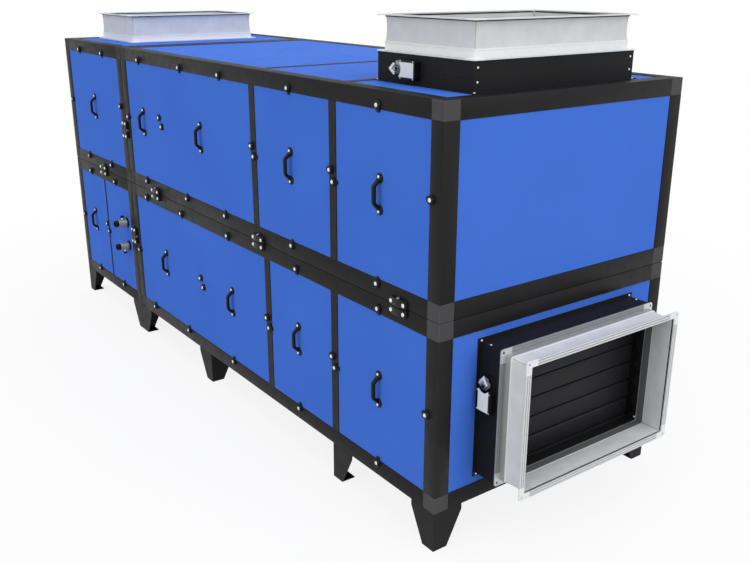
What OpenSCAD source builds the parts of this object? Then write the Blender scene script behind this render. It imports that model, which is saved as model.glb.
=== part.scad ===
// Air handling unit: two decks of panelled sections on angle feet, with duct
// connectors on the top and on one end, and a geared louvre damper at that end.
// Millimetres. +X points to the damper end, -Y to the door side, +Z up.

/* [Casing] */
// Length of the short section, at the far end
short_len = 812; // [600:1:1000]
// Length of the long section
long_len = 2396; // [2200:1:2800]
// Width of the unit over its frame
unit_w = 1060; // [960:1:1300]
// Height of one deck
deck_h = 656; // [600:1:800]
// Width of the square frame profile
profile = 58; // [50:1:66]
// Thickness of the seal between sections
seal_t = 2; // [1.2:0.1:4]
// How far a seal sits behind the faces of the frames
seal_inset = 4; // [2:0.5:8]
// Width of the posts between panels
mullion_w = 40; // [34:1:46]

/* [Panels] */
// Thickness of an insulated panel
panel_t = 45; // [30:1:50]
// How far a panel sits behind the face of the frame
panel_inset = 2; // [1:0.1:3]
// Gap all round a panel
panel_gap = 0.5; // [0.3:0.1:0.8]
// Width of the dark joint between the pipe panel and its door
pipe_joint = 6; // [3:0.5:10]
// Distance from the damper end to the first upper post, centre
upper_post_1 = 563; // [520:1:600]
// Distance from the damper end to the second upper post, centre
upper_post_2 = 1104; // [1060:1:1150]
// Distance from the damper end to the first lower post, centre
lower_post_1 = 565; // [520:1:600]
// Distance from the damper end to the second lower post, centre
lower_post_2 = 1034; // [1000:1:1150]
// Width of the panel that the pipes come through
pipe_panel_w = 336; // [300:1:360]

/* [Handles and latches] */
// Distance between the two screws of a handle
handle_pitch = 112; // [100:1:128]
// How far a handle stands out from its panel
handle_out = 34; // [31:0.5:40]
// Thickness of the handle's bow
handle_d = 15; // [12:0.5:17]
// Width of the handle's bow
handle_w = 17; // [13:0.5:20]
// Diameter of a handle's foot
handle_foot_d = 29; // [26:0.5:33]
// How much higher the raised handles sit than the others
handle_lift = 10; // [0:1:20]
// Diameter of a latch button
latch_d = 30; // [26:0.5:33]
// How far a latch button stands out from the frame
latch_out = 12; // [10:0.5:14]
// Distance from a side latch's middle to the edge of its panel
latch_from_edge = 11; // [9.5:0.5:13]
// Distance from an upper or lower latch's middle to the edge of its panel
latch_from_level = 14; // [12:0.5:16]
// Length of the tab that a latch holds over its panel, from its middle
latch_reach = 21; // [19:0.5:24]
// Length of a section clamp along its joint
clamp_w = 84; // [76:1:92]
// Width of one half of a section clamp, from the middle of the joint
clamp_h = 29; // [26:0.5:34]
// Thickness of a section clamp's plate
clamp_t = 9; // [7:0.5:12]
// How far a clamp's middle stands out beyond its ends
clamp_crown = 7; // [4:0.5:10]

/* [Feet] */
// Height of a foot
foot_h = 140; // [100:1:180]
// Width of a foot's plate under the frame
foot_top_w = 118; // [100:1:130]
// Width of a foot's plate at the floor
foot_base_w = 57; // [45:1:80]
// Height of the straight edge at the top of a foot
foot_rim = 20; // [12:1:30]
// Thickness of the feet's steel
foot_t = 4; // [3:0.5:6]
// Distance from the damper end to the corner of the first middle foot
middle_foot_1 = 582; // [540:1:700]
// Distance from the damper end to the corner of the second middle foot
middle_foot_2 = 1588; // [1450:1:1700]

/* [Ducts] */
// Clear width of a duct connector
duct_w = 680; // [600:1:740]
// Clear height of a duct connector
duct_h = 430; // [429:1:460]
// Width of a duct flange
flange_w = 22; // [18:0.5:28]
// Thickness of a duct flange at its corner plates
flange_t = 4; // [3:0.5:6]
// Size of a flange's corner plates
corner_plate = 46; // [40:1:60]
// Length of the sheet metal collar behind a flange
collar_len = 30; // [20:1:36]
// Thickness of a collar
collar_t = 2.5; // [2:0.1:4]
// Thickness of the flexible sleeve
sleeve_t = 3; // [2.5:0.1:4]
// Length of the end connector, flange to flange
end_connector_len = 113; // [100:1:140]
// Length of the connector over the top damper
top_connector_len = 116; // [100:1:140]
// Length of the connector on the short section
short_connector_len = 134; // [110:1:160]
// Distance from the damper end to the middle of the top damper
top_outlet_x = 312; // [306:1:320]
// Distance from the far end to the middle of the far connector
far_outlet_x = 305; // [290:1:325]
// Diameter of the corner holes in a flange
flange_hole_d = 9; // [7:0.5:11]

/* [Dampers] */
// Depth of a damper, along the air
damper_d = 94; // [85:1:120]
// Thickness of a damper's frame walls
damper_wall = 17; // [14:0.5:20]
// Width of the damper's fixing flange
damper_lip = 12; // [9:0.5:14]
// Thickness of the damper's fixing flange
damper_lip_t = 3; // [2:0.5:5]
// Distance between blade axes
blade_pitch = 70; // [66:0.5:70]
// Gap between two closed blades
blade_gap = 5; // [5:0.5:8]
// Thickness of a blade at its middle
blade_t = 14; // [10:0.5:18]
// Gap between a blade's end and the damper's wall
blade_side_gap = 5; // [5:0.5:8]
// Diameter of a blade's pivot
pivot_d = 12; // [10:0.5:14]
// Clearance round a pivot
pivot_clear = 0.3; // [0.2:0.05:0.5]
// Length of a pivot inside its wall
pivot_len = 12; // [10:0.5:13.5]

/* [Actuators] */
// Width of an actuator
actuator_w = 60; // [50:1:70]
// Length of an actuator, over its shaft end
actuator_len = 124; // [110:1:140]
// Depth of an actuator's housing
actuator_d = 24; // [22:0.5:34]
// Depth of its base at the shaft end
actuator_base_d = 4; // [3:0.5:6]
// Diameter of the shaft clamp
shaft_clamp_d = 34; // [28:1:40]
// Thickness of the shaft clamp
shaft_clamp_t = 12; // [10:0.5:14]
// Gap between the shaft clamp and the base under it
shaft_clamp_gap = 5; // [5:0.5:7]

/* [Pipes] */
// Outer diameter of a pipe stub
pipe_d = 38; // [36:0.5:42]
// Bore of a pipe stub
pipe_bore = 28; // [24:0.5:29]
// How far a pipe stub stands out from the frame
pipe_out = 66; // [55:1:90]
// Outer diameter of a pipe's threaded end
pipe_end_d = 33.5; // [32:0.5:35]
// Length of a pipe's threaded end
pipe_end_len = 20; // [12:1:24]
// Height of the upper pipe above the lower frame
pipe_z_high = 422; // [400:1:450]
// Height of the lower pipe above the lower frame
pipe_z_low = 297; // [270:1:320]
// Distance from the pipe panel's damper side edge to the pipes
pipe_inset = 54; // [46:1:80]
// Diameter of a pipe's collar
pipe_collar_d = 52; // [46:1:60]
// Thickness of a pipe's collar
pipe_collar_t = 8; // [5:0.5:12]
// Diameter of the vent and drain plugs
plug_d = 20; // [15:0.5:24]
// Length of the vent and drain plugs
plug_len = 20; // [14:0.5:26]

/* [Hidden] */
$fn = 48;

blue = [0.25, 0.40, 0.80];
black = [0.16, 0.15, 0.16];
corner_grey = [0.32, 0.32, 0.33];
galvanised = [0.72, 0.74, 0.78];
fabric_grey = [0.66, 0.68, 0.72];
pipe_grey = [0.60, 0.60, 0.62];
label_grey = [0.80, 0.80, 0.80];

// The unit's box, centred on the floor under its middle
unit_len = short_len + seal_t + long_len;
end_reach = damper_d + end_connector_len - panel_inset;
front_reach = max(pipe_out, handle_out - panel_inset);
near_x = (unit_len - end_reach) / 2;
far_x = near_x - unit_len;
long_x = near_x - long_len;
front_y = (front_reach - unit_w) / 2;
rear_y = front_y + unit_w;
mid_y = (front_y + rear_y) / 2;
lower_z = foot_h;
upper_z = lower_z + deck_h + seal_t;
top_z = upper_z + deck_h;
opening_h = deck_h - 2 * profile;
row_z = [lower_z, upper_z];

// Dampers and connectors
flange_out_w = duct_w + 2 * flange_w;
flange_out_h = duct_h + 2 * flange_w;
damper_out_w = duct_w + 2 * damper_wall;
damper_out_h = duct_h + 2 * damper_wall;
hole_span_w = duct_w + flange_w;
hole_span_h = duct_h + flange_w;
blade_count = 6;
lead_blade = 5;
blade_chord = blade_pitch - blade_gap;
blade_len = duct_w - 2 * blade_side_gap;
end_mid_z = lower_z + deck_h / 2;
end_mouth_x = near_x + end_reach;
top_mid_x = near_x - top_outlet_x;
far_mid_x = far_x + far_outlet_x;
shaft_out = actuator_base_d + shaft_clamp_gap + shaft_clamp_t + 4;

// Panel edges along the front, as distances from the damper end
upper_edges = [profile, upper_post_1 - mullion_w / 2, upper_post_1 + mullion_w / 2,
    upper_post_2 - mullion_w / 2, upper_post_2 + mullion_w / 2, long_len - profile];
lower_edges = [profile, lower_post_1 - mullion_w / 2, lower_post_1 + mullion_w / 2,
    lower_post_2 - mullion_w / 2, lower_post_2 + mullion_w / 2, long_len - profile];
short_edges = [long_len + seal_t + profile, unit_len - profile];
pipe_edge = short_edges[0] + pipe_panel_w;
pipe_x = near_x - short_edges[0] - pipe_inset;

// Small sizes
handle_foot_t = 4;
handle_foot_in = 5;
handle_slope = 52;
handle_bend_r = 14;
handle_leg_in = 5;
bow_steps = 6;
plug_stub_len = 10;
plug_stem_d = 11;
latch_tab_t = 3;
latch_tab_w = 18;
latch_tab_cut = 4;
latch_side = 5;
latch_step = 38;
upper_latch_lift = 4;
lower_latch_lift = 6;
clamp_cut = 8;
clamp_bolt_head_d = 13;
clamp_bolt_head_h = 4;
rail_step = 0.8;
actuator_cut = 6;
horn_share = 0.6;
shaft_clear = 3;
hub_share = 0.85;
jaw_t = 8;
stud_d = 6;
stud_side = 0.68;
stud_out = 9;
clamp_turn = 45;

// Middle line of a handle's bow: its bend's centre, and where its leg enters its foot
handle_foot_z = handle_pitch / 2 - handle_foot_in;
bow_y = handle_d / 2 - handle_out + handle_bend_r;
leg_end_y = -handle_foot_t / 2;
leg_rise = (leg_end_y - bow_y + handle_bend_r * cos(handle_slope)) / tan(handle_slope);
bow_z = handle_foot_z - handle_leg_in - leg_rise - handle_bend_r * sin(handle_slope);

// Places along the doors, as shares of their width
upper_wide_handles = [0.36, 0.857];
lower_wide_handles = [0.226, 0.75];
upper_wide_latches = [0.196, 0.498, 0.867];
lower_wide_latches = [0.234, 0.585, 0.893];
upper_left_latches = [0.277, 0.751];
upper_left_handle = 0.514;
upper_right_latch = 0.515;
lower_middle_fittings = 0.524;
lower_left_fittings = 0.527;
upper_wide_buttons = 0.696;
lower_wide_buttons = 0.451;

// Places of the section clamps, as shares of a section's length or of a deck's height
long_clamps = [0.079, 0.452, 0.866];
short_clamp = 0.449;
post_clamps = [0.577, 0.4];
clamp_crown_r = (clamp_w * clamp_w / 4 + clamp_crown * clamp_crown) / (2 * clamp_crown);
clamp_bolt_y = -(clamp_t + clamp_crown) / 2;

// A box from its lowest corner
module block(low, size) {
    translate(low) cube(size);
}

// A rectangular ring in the XY plane, standing up from z = 0
module ring(outer_w, outer_h, inner_w, inner_h, t) {
    linear_extrude(t) difference() {
        square([outer_w, outer_h], center = true);
        square([inner_w, inner_h], center = true);
    }
}

// Frame profiles of one section, each bar between two corner pieces
module section_frame(x, z, len) {
    span_x = len - 2 * profile;
    span_y = unit_w - 2 * profile;
    for (px = [x, x + len - profile], py = [front_y, rear_y - profile])
        block([px, py, z + profile], [profile, profile, opening_h]);
    for (py = [front_y, rear_y - profile], pz = [z, z + deck_h - profile])
        block([x + profile, py, pz], [span_x, profile, profile]);
    for (px = [x, x + len - profile], pz = [z, z + deck_h - profile])
        block([px, front_y + profile, pz], [profile, span_y, profile]);
}

// Moulded corner pieces of one deck
module deck_corners(z) {
    for (px = [far_x, far_x + short_len - profile, long_x, near_x - profile])
        for (py = [front_y, rear_y - profile], pz = [z, z + deck_h - profile])
            block([px, py, pz], [profile, profile, profile]);
}

module frame_short_lower() { color(black) section_frame(far_x, lower_z, short_len); }
module frame_short_upper() { color(black) section_frame(far_x, upper_z, short_len); }
module frame_long_lower() { color(black) section_frame(long_x, lower_z, long_len); }
module frame_long_upper() { color(black) section_frame(long_x, upper_z, long_len); }
module corners_lower() { color(corner_grey) deck_corners(lower_z); }
module corners_upper() { color(corner_grey) deck_corners(upper_z); }

// Posts between panels, on one long side
module posts(y, z, places) {
    for (p = places)
        block([near_x - p - mullion_w / 2, y, z + profile], [mullion_w, profile, opening_h]);
}

module posts_front_lower() { color(black) posts(front_y, lower_z, [lower_post_1, lower_post_2]); }
module posts_front_upper() { color(black) posts(front_y, upper_z, [upper_post_1, upper_post_2]); }
module posts_rear() {
    color(black) {
        posts(rear_y - profile, lower_z, [lower_post_1, lower_post_2]);
        posts(rear_y - profile, upper_z, [upper_post_1, upper_post_2]);
    }
}

// Seal strips between the decks and between the sections, set back from the faces
module section_seal() {
    strip = profile - 2 * seal_inset;
    w = unit_w - 2 * seal_inset;
    color(black) {
        for (part = [[far_x, short_len], [long_x, long_len]])
            translate([part[0] + part[1] / 2, mid_y, lower_z + deck_h])
                ring(part[1] - 2 * seal_inset, w, part[1] - 2 * seal_inset - 2 * strip,
                    w - 2 * strip, seal_t);
        for (z = row_z)
            translate([long_x - seal_t, mid_y, z + deck_h / 2]) rotate([0, 90, 0])
                ring(deck_h - 2 * seal_inset, w, deck_h - 2 * seal_inset - 2 * strip,
                    w - 2 * strip, seal_t);
    }
}

// A panel in the front or rear face, between two distances from the damper end
module side_panel(y, z, from, to) {
    block([near_x - to + panel_gap, y, z + profile + panel_gap],
        [to - from - 2 * panel_gap, panel_t, opening_h - 2 * panel_gap]);
}

module front_panel(z, from, to) {
    color(blue) side_panel(front_y + panel_inset, z, from, to);
}

module upper_left_door() { front_panel(upper_z, short_edges[0], short_edges[1]); }
module upper_wide_door() { front_panel(upper_z, upper_edges[4], upper_edges[5]); }
module upper_middle_door() { front_panel(upper_z, upper_edges[2], upper_edges[3]); }
module upper_right_door() { front_panel(upper_z, upper_edges[0], upper_edges[1]); }
module lower_left_door() { front_panel(lower_z, pipe_edge + pipe_joint / 2, short_edges[1]); }
module lower_wide_door() { front_panel(lower_z, lower_edges[4], lower_edges[5]); }
module lower_middle_door() { front_panel(lower_z, lower_edges[2], lower_edges[3]); }
module lower_right_door() { front_panel(lower_z, lower_edges[0], lower_edges[1]); }

// Fixed panel with a clearance hole for each pipe
module pipe_panel() {
    difference() {
        front_panel(lower_z, short_edges[0], pipe_edge - pipe_joint / 2);
        for (z = [pipe_z_high, pipe_z_low])
            translate([pipe_x, front_y - 1, lower_z + z]) rotate([-90, 0, 0])
                cylinder(d = pipe_d + 1, h = panel_t + panel_inset + 2);
    }
}

module rear_panels_lower() {
    color(blue) rear_row(lower_z, lower_edges);
}

module rear_panels_upper() {
    color(blue) rear_row(upper_z, upper_edges);
}

module rear_row(z, edges) {
    y = rear_y - panel_inset - panel_t;
    for (i = [0, 2, 4]) side_panel(y, z, edges[i], edges[i + 1]);
    side_panel(y, z, short_edges[0], short_edges[1]);
}

// A level panel inside the frame of one section, between two distances
module level_panel(z, from, to) {
    block([near_x - to + panel_gap, front_y + profile + panel_gap, z],
        [to - from - 2 * panel_gap, unit_w - 2 * (profile + panel_gap), panel_t]);
}

// A top panel with a duct opening in it
module outlet_panel(from, to, mid_x) {
    z = top_z - panel_inset - panel_t;
    difference() {
        level_panel(z, from, to);
        translate([mid_x, mid_y, z - 1]) cube_centred(duct_h, duct_w, panel_t + 2);
    }
}

module cube_centred(w, d, h) {
    translate([-w / 2, -d / 2, 0]) cube([w, d, h]);
}

module top_panel_far_outlet() {
    color(blue) outlet_panel(short_edges[0], short_edges[1], far_mid_x);
}

module top_panel_near_outlet() {
    color(blue) outlet_panel(upper_edges[0], upper_post_1, top_mid_x);
}

module top_panels_plain() {
    z = top_z - panel_inset - panel_t;
    color(blue) {
        level_panel(z, upper_post_1, upper_post_2);
        level_panel(z, upper_post_2, long_len - profile);
    }
}

module floor_panels() { color(blue) both_sections(lower_z + panel_inset); }
module deck_ceiling() { color(blue) both_sections(lower_z + deck_h - panel_inset - panel_t); }
module deck_floor() { color(blue) both_sections(upper_z + panel_inset); }

module both_sections(z) {
    level_panel(z, profile, long_len - profile);
    level_panel(z, short_edges[0], short_edges[1]);
}

// A panel in an end face
module end_face_panel(x, z) {
    block([x, front_y + profile + panel_gap, z + profile + panel_gap],
        [panel_t, unit_w - 2 * (profile + panel_gap), opening_h - 2 * panel_gap]);
}

module end_panel_upper() { color(blue) end_face_panel(near_x - panel_inset - panel_t, upper_z); }

module end_panel_lower() {
    color(blue) difference() {
        end_face_panel(near_x - panel_inset - panel_t, lower_z);
        block([near_x - panel_t - panel_inset - 1, mid_y - duct_w / 2, end_mid_z - duct_h / 2],
            [panel_t + panel_inset + 2, duct_w, duct_h]);
    }
}

module far_end_panels() {
    color(blue) for (z = row_z) end_face_panel(far_x + panel_inset, z);
}

// One edge of the bow's upper half, in the plane of y and z, at an offset from its middle line
function bow_edge(shift) = let (r = handle_bend_r + shift, slope = handle_slope) [
    for (i = [0:bow_steps]) let (a = slope * i / bow_steps)
        [bow_y - r * cos(a), bow_z + r * sin(a)],
    [leg_end_y, bow_z + r * sin(slope) + (leg_end_y - bow_y + r * cos(slope)) / tan(slope)],
];

function reversed(list) = [for (i = [len(list) - 1:-1:0]) list[i]];
function lower_half(list) = [for (p = list) [p[0], -p[1]]];

// Bow handle standing out along -Y, its two feet on a panel at the origin
module handle() {
    outer = bow_edge(handle_d / 2);
    inner = bow_edge(-handle_d / 2);
    rotate([90, 0, 90]) linear_extrude(handle_w, center = true)
        polygon(concat(reversed(lower_half(outer)), outer, reversed(inner), lower_half(inner)));
    for (side = [-1, 1])
        translate([0, 0, side * handle_foot_z]) rotate([90, 0, 0])
            cylinder(d = handle_foot_d, h = handle_foot_t);
}

// Handles at pairs of a distance from the damper end and a height over the deck's middle
module panel_handles(z, places) {
    color(black) for (p = places)
        translate([near_x - p[0], front_y + panel_inset, z + deck_h / 2 + p[1]]) handle();
}

function middle(a, b) = (a + b) / 2;
function part_way(a, b, share) = a + (b - a) * share;

module handles_upper() {
    panel_handles(upper_z, [
        [middle(upper_edges[0], upper_edges[1]), handle_lift],
        [middle(upper_edges[2], upper_edges[3]), handle_lift],
        [part_way(upper_edges[4], upper_edges[5], upper_wide_handles[0]), handle_lift],
        [part_way(upper_edges[4], upper_edges[5], upper_wide_handles[1]), 0],
        [part_way(short_edges[0], short_edges[1], upper_left_handle), 0]]);
}

module handles_lower() {
    panel_handles(lower_z, [
        [middle(lower_edges[0], lower_edges[1]), 0],
        [part_way(lower_edges[2], lower_edges[3], lower_middle_fittings), handle_lift],
        for (share = lower_wide_handles) [part_way(lower_edges[4], lower_edges[5], share), 0],
        [part_way(pipe_edge, short_edges[1], lower_left_fittings), handle_lift]]);
}

// A domed button standing up from z = 0
module button() {
    rise = latch_out - latch_side;
    r = (latch_d * latch_d / 4 + rise * rise) / (2 * rise);
    rotate_extrude() intersection() {
        translate([0, latch_out - r]) circle(r = r, $fn = 96);
        square([latch_d / 2, latch_out]);
    }
}

// A turn latch on the frame, its tab pointing to the panel it holds
module latch(x, z, turn) {
    half = latch_tab_w / 2;
    cut = latch_tab_cut;
    translate([x, front_y, z]) rotate([0, turn, 0]) {
        rotate([90, 0, 0]) button();
        rotate([90, 0, 0]) linear_extrude(latch_tab_t) polygon([
            [-half, 0], [half, 0], [half, latch_reach - cut], [half - cut, latch_reach],
            [cut - half, latch_reach], [-half, latch_reach - cut]]);
    }
}

// A pair of buttons through a panel, either side of a hidden post
module button_pair(p, z, low, high) {
    for (spot = [[-latch_from_edge, low], [latch_from_edge, high]])
        translate([near_x - p - spot[0], front_y + panel_inset, z + deck_h / 2 + spot[1]])
            rotate([90, 0, 0]) button();
}

// Latches in pairs over and under the panels, at distances from the damper end
module latches_over_under(z, places) {
    for (p = places) {
        latch(near_x - p, z + deck_h - profile + latch_from_level, 180);
        latch(near_x - p, z + profile - latch_from_level, 0);
    }
}

// Latches at the far side and at the near side of panels, at a height over the deck's middle
module latches_far_side(z, places, height) {
    for (p = places) latch(near_x - p - latch_from_edge, z + deck_h / 2 + height, 90);
}

module latches_near_side(z, places, height) {
    for (p = places) latch(near_x - p + latch_from_edge, z + deck_h / 2 + height, -90);
}

module latches_upper() {
    color(black) {
        latches_over_under(upper_z, [
            part_way(upper_edges[0], upper_edges[1], upper_right_latch),
            middle(upper_edges[2], upper_edges[3]),
            for (share = upper_wide_latches) part_way(upper_edges[4], upper_edges[5], share),
            for (share = upper_left_latches) part_way(short_edges[0], short_edges[1], share)]);
        latches_far_side(upper_z,
            [upper_edges[1], upper_edges[3], upper_edges[5], short_edges[1]], upper_latch_lift);
        latches_near_side(upper_z, [upper_edges[0], upper_edges[2], upper_edges[4], short_edges[0]],
            latch_step + upper_latch_lift);
        button_pair(part_way(upper_edges[4], upper_edges[5], upper_wide_buttons), upper_z,
            upper_latch_lift, latch_step + upper_latch_lift);
    }
}

module latches_lower() {
    low = lower_latch_lift - latch_step / 2;
    high = lower_latch_lift + latch_step / 2;
    color(black) {
        latches_over_under(lower_z + lower_latch_lift, [
            middle(lower_edges[0], lower_edges[1]),
            part_way(lower_edges[2], lower_edges[3], lower_middle_fittings),
            for (share = lower_wide_latches) part_way(lower_edges[4], lower_edges[5], share),
            middle(short_edges[0], pipe_edge),
            part_way(pipe_edge, short_edges[1], lower_left_fittings)]);
        latches_far_side(lower_z, [lower_edges[1], lower_edges[3], lower_edges[5]], low);
        latches_far_side(lower_z, [short_edges[1]], lower_latch_lift);
        latches_near_side(lower_z, [lower_edges[2], lower_edges[4]], high);
        latches_near_side(lower_z, [lower_edges[0]], 2 * lower_latch_lift);
        button_pair(part_way(lower_edges[4], lower_edges[5], lower_wide_buttons), lower_z, low, high);
        button_pair(pipe_edge, lower_z, low, high);
    }
}

// One half of a clamp over a joint along X, crowned between its ends
module clamp_half() {
    half = clamp_w / 2;
    cut = clamp_cut;
    low = seal_t / 2;
    out = clamp_t + clamp_crown;
    intersection() {
        rotate([90, 0, 0]) linear_extrude(out) polygon([
            [-half, low], [half, low], [half, clamp_h - cut], [half - cut, clamp_h],
            [cut - half, clamp_h], [-half, clamp_h - cut]]);
        translate([0, clamp_crown_r - out, 0]) cylinder(r = clamp_crown_r, h = 2 * clamp_h);
    }
}

// Both halves, with the head of the draw bolt on one of them
module section_clamp() {
    clamp_half();
    translate([0, clamp_bolt_y, clamp_h]) cylinder(d = clamp_bolt_head_d, h = clamp_bolt_head_h);
    mirror([0, 0, 1]) clamp_half();
}

module section_clamps() {
    joint_z = upper_z - seal_t / 2;
    joint_x = long_x - seal_t / 2;
    color(black) {
        for (share = long_clamps)
            translate([near_x - share * long_len, front_y, joint_z]) section_clamp();
        translate([long_x - seal_t - short_clamp * short_len, front_y, joint_z]) section_clamp();
        for (i = [0, 1])
            translate([joint_x, front_y, row_z[i] + post_clamps[i] * deck_h])
                rotate([0, 90, 0]) section_clamp();
    }
}

// Angle foot: its corner at the origin, its plates along +X and +Y
module foot() {
    plate = [[0, 0], [foot_base_w, 0], [foot_top_w, foot_h - foot_rim], [foot_top_w, foot_h], [0, foot_h]];
    translate([0, foot_t, 0]) rotate([90, 0, 0]) linear_extrude(foot_t) polygon(plate);
    rotate([90, 0, 90]) linear_extrude(foot_t) polygon(plate);
    cube([foot_base_w, foot_base_w, foot_t]);
}

// Feet along one side, facing outwards by their corner
module feet_row() {
    for (x = [far_x, long_x, near_x - middle_foot_1]) translate([x, front_y, 0]) foot();
    for (x = [far_x + short_len, near_x - middle_foot_2, near_x])
        translate([x, front_y, 0]) mirror([1, 0, 0]) foot();
}

module feet_front() { color(black) feet_row(); }

module feet_rear() {
    color(black) translate([0, 2 * mid_y, 0]) mirror([0, 1, 0]) feet_row();
}

// Pipe stub through the panel, open at its outer end and turned down there for a union
module pipe_stub(z) {
    len = pipe_out + panel_inset + panel_t;
    color(pipe_grey) translate([pipe_x, front_y - pipe_out, lower_z + z]) rotate([-90, 0, 0])
        difference() {
            union() {
                cylinder(d = pipe_end_d, h = len);
                translate([0, 0, pipe_end_len]) cylinder(d = pipe_d, h = len - pipe_end_len);
            }
            translate([0, 0, -1]) cylinder(d = pipe_bore, h = len + 2);
        }
}

module pipe_high() { pipe_stub(pipe_z_high); }
module pipe_low() { pipe_stub(pipe_z_low); }

module pipe_collars() {
    color(black) for (z = [pipe_z_high, pipe_z_low])
        translate([pipe_x, front_y + panel_inset - pipe_collar_t, lower_z + z]) rotate([-90, 0, 0])
            difference() {
                cylinder(d = pipe_collar_d, h = pipe_collar_t);
                translate([0, 0, -1]) cylinder(d = pipe_d + 1, h = pipe_collar_t + 2);
            }
}

// Vent plug on the high pipe and drain plug under the low one, each stem cut to its pipe's round
module pipe_plugs() {
    y = front_y - (pipe_out - pipe_end_len) / 2;
    color(black) {
        translate([pipe_x, y, lower_z + pipe_z_high]) plug();
        translate([pipe_x, y, lower_z + pipe_z_low]) mirror([0, 0, 1]) plug();
    }
}

module plug() {
    cap_z = pipe_d / 2 + plug_stub_len;
    difference() {
        cylinder(d = plug_stem_d, h = cap_z);
        rotate([90, 0, 0]) cylinder(d = pipe_d, h = 2 * plug_stem_d, center = true);
    }
    translate([0, 0, cap_z]) cylinder(d = plug_d, h = plug_len - plug_stub_len);
}

// Damper frame in its own axes: air along +Z, blades along +Y, fixing flange at z = 0
module damper_frame() {
    difference() {
        union() {
            ring(damper_out_h, damper_out_w, duct_h, duct_w, damper_d);
            ring(damper_out_h + 2 * damper_lip, damper_out_w + 2 * damper_lip, duct_h, duct_w,
                damper_lip_t);
        }
        for (i = [1:blade_count]) translate([blade_place(i), 0, damper_d / 2]) rotate([90, 0, 0])
            cylinder(d = pivot_d + 2 * pivot_clear, h = damper_out_w + 2, center = true);
    }
}

function blade_place(i) = (i - (blade_count + 1) / 2) * blade_pitch;

// Blade section: two arcs meeting at the edges, round a tubular spine
module blade_outline() {
    rise = blade_t / 2 - 1;
    half = blade_chord / 2;
    r = (half * half + rise * rise) / (2 * rise);
    intersection() {
        translate([0, rise - r]) circle(r = r, $fn = 96);
        translate([0, r - rise]) circle(r = r, $fn = 96);
    }
    circle(d = blade_t);
}

// One blade with its pivots; the shaft of the driven one runs out to the actuator
module damper_blade(i, driven) {
    pivot_reach = blade_side_gap + pivot_len;
    front_pivot = driven ? blade_side_gap + damper_wall + shaft_out : pivot_reach;
    translate([blade_place(i), 0, damper_d / 2]) rotate([90, 0, 0]) {
        translate([0, 0, -blade_len / 2]) linear_extrude(blade_len) blade_outline();
        translate([0, 0, -blade_len / 2 - pivot_reach]) cylinder(d = pivot_d, h = pivot_reach);
        translate([0, 0, blade_len / 2]) cylinder(d = pivot_d, h = front_pivot);
    }
}

// A plate in the plane of x and z with its corners cut, standing out along -Y
module cut_plate(x0, x1, w, out, cut) {
    half = w / 2;
    rotate([90, 0, 0]) linear_extrude(out) polygon([
        [x0 + cut, -half], [x1 - cut, -half], [x1, cut - half], [x1, half - cut],
        [x1 - cut, half], [x0 + cut, half], [x0, half - cut], [x0, cut - half]]);
}

// Actuator beside the damper, its long axis along the damper's X, shaft end at the lead blade.
// Its housing is hollowed round the shaft clamp
module damper_actuator() {
    shaft_x = blade_place(lead_blade);
    end_x = shaft_x + actuator_w / 2;
    far_end = end_x - actuator_len;
    hollow_r = shaft_clamp_d / 2 + shaft_clamp_gap;
    translate([0, -damper_out_w / 2, damper_d / 2]) difference() {
        union() {
            cut_plate(far_end, end_x, actuator_w, actuator_base_d, actuator_w / 4);
            cut_plate(far_end, shaft_x - hollow_r * horn_share, actuator_w, actuator_d, actuator_cut);
        }
        translate([shaft_x, 1, 0]) rotate([90, 0, 0])
            cylinder(d = pivot_d + 2 * shaft_clear, h = actuator_base_d + 2);
        translate([shaft_x, -actuator_base_d, 0]) rotate([90, 0, 0])
            cylinder(r = hollow_r, h = actuator_d);
    }
}

// Shaft clamp: a hub with a jaw drawn up to it by two studs, which point away from the housing
module damper_shaft_clamp(turn) {
    y = -damper_out_w / 2 - actuator_base_d - shaft_clamp_gap;
    r = shaft_clamp_d / 2;
    translate([blade_place(lead_blade), y, damper_d / 2]) rotate([90, 0, 0]) difference() {
        union() {
            cylinder(r = r * hub_share, h = shaft_clamp_t);
            rotate(turn) {
                block([r * hub_share - jaw_t, -r, 0], [jaw_t, 2 * r, shaft_clamp_t]);
                for (side = [-1, 1])
                    translate([0, side * stud_side * r, shaft_clamp_t / 2]) rotate([0, 90, 0])
                        cylinder(d = stud_d, h = r + stud_out);
            }
        }
        translate([0, 0, -1]) cylinder(d = pivot_d, h = shaft_clamp_t + 2);
    }
}

// Flanges and collars of a connector, air along +Z from z = 0
module connector_flanges(len) {
    collar_w = duct_w + 2 * collar_t;
    collar_h = duct_h + 2 * collar_t;
    flange_plate();
    ring(collar_h, collar_w, duct_h, duct_w, collar_len);
    translate([0, 0, len - flange_t]) flange_plate();
}

// Four rails with a corner plate over each joint, drilled for a bolt
module flange_plate() {
    edge_h = (flange_out_h - corner_plate) / 2;
    edge_w = (flange_out_w - corner_plate) / 2;
    difference() {
        union() {
            ring(flange_out_h, flange_out_w, duct_h, duct_w, flange_t - rail_step);
            for (x = [-1, 1], y = [-1, 1])
                translate([x * edge_h, y * edge_w, 0]) cube_centred(corner_plate, corner_plate, flange_t);
        }
        translate([0, 0, -1]) cube_centred(duct_h, duct_w, flange_t + 2);
        for (x = [-1, 1], y = [-1, 1])
            translate([x * hole_span_h / 2, y * hole_span_w / 2, -1])
                cylinder(d = flange_hole_d, h = flange_t + 2);
    }
}

module connector_sleeve(len) {
    translate([0, 0, collar_len])
        ring(duct_h + 2 * sleeve_t, duct_w + 2 * sleeve_t, duct_h, duct_w,
            len - collar_len - flange_t);
}

// Place at the end: air along +X, the damper's X axis up
module at_end(along) {
    translate([near_x - panel_inset + along, mid_y, end_mid_z])
        rotate([0, 90, 0]) mirror([1, 0, 0]) children();
}

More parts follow.
